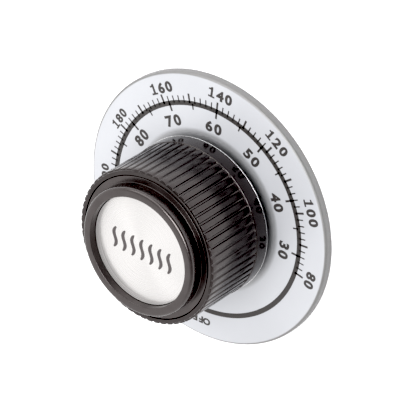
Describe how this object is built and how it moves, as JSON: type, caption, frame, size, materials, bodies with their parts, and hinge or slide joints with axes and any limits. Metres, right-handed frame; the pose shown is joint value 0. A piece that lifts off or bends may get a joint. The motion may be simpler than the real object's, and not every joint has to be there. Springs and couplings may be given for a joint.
{
  "type": "temperature control knob with scale dial",
  "caption": "Ribbed black grip knob with a bezel, an aluminium inlay and a turned-down aluminium dial with a temperature scale, re-indexable by clamp screws.",
  "frame": {"origin": "centre of the circle on which the dial's skirt rests, at the skirt's edge", "axes": "+Z along the knob's axis towards the inlay, +Y towards the dial's OFF mark"},
  "size_m": [0.076, 0.076, 0.0308],
  "materials": {
    "black_grip": "moulded black plastic, satin to gloss",
    "black_cap": "moulded black plastic, glossy",
    "inlay_aluminium": "spun, radial sheen",
    "bright_trim": "bright turned trim ring",
    "adhesive": "adhesive film",
    "dial_aluminium": "satin anodised",
    "brass": "turned",
    "steel": "zinc plated",
    "spring_steel": "spring steel",
    "fibre": "vulcanised fibre",
    "print_ink": "dark grey print on the dial and the inlay"
  },
  "bodies": {
    "knob": {"knob_body": "black_grip", "front_cap": "black_cap", "inlay_disc": "inlay_aluminium", "inlay_adhesive": "adhesive", "collar_trim": "bright_trim", "shaft_bush": "brass", "shaft_spring": "spring_steel", "friction_washer": "fibre", "wave_washer": "spring_steel", "clamp_plate": "steel", "screw_insert_1": "brass", "screw_insert_2": "brass", "screw_insert_3": "brass"},
    "dial": {"dial_skirt": "dial_aluminium"},
    "screw_1": {"clamp_screw_1": "steel", "lock_washer_1": "spring_steel"},
    "screw_2": {"clamp_screw_2": "steel", "lock_washer_2": "spring_steel"},
    "screw_3": {"clamp_screw_3": "steel", "lock_washer_3": "spring_steel"}
  },
  "joints": [
    {"name": "dial_index", "type": "hinge", "parent": "knob", "child": "dial", "pos_m": [0, 0, 0], "axis": [0, 0, 1], "range_deg": [-9, 9]},
    {"name": "screw_1_back_off", "type": "slide", "parent": "knob", "child": "screw_1", "axis": [0, 0, -1], "range_m": [0, 0.0005]},
    {"name": "screw_2_back_off", "type": "slide", "parent": "knob", "child": "screw_2", "axis": [0, 0, -1], "range_m": [0, 0.0005]},
    {"name": "screw_3_back_off", "type": "slide", "parent": "knob", "child": "screw_3", "axis": [0, 0, -1], "range_m": [0, 0.0005]}
  ]
}
